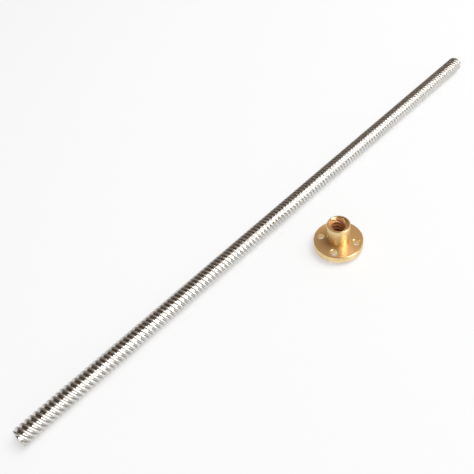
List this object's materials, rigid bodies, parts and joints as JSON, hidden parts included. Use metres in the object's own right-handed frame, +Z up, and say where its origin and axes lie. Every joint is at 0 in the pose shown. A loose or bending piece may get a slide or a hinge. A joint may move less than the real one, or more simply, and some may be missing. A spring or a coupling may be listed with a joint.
{
  "type": "trapezoidal lead screw with flanged nut",
  "caption": "Multi-start trapezoidal lead screw with a right-hand rolled thread over its whole length, and its flanged brass nut standing run off beside it.",
  "frame": {"origin": "centre of the screw's near end face, on the screw's axis", "axes": "+X along the screw towards its far end, +Z up from the surface that both pieces lie on, and the nut stands on the -Y side"},
  "size_m": [0.3, 0.0465, 0.015],
  "materials": {
    "bright_steel": "bright rolled stainless steel, mirror-like in the grooves and duller on the ridges",
    "turned_brass": "turned brass with fine tool rings, glossy on the barrel"
  },
  "bodies": {
    "root": {"lead_screw": "bright_steel", "flange_nut": "turned_brass"}
  },
  "joints": []
}
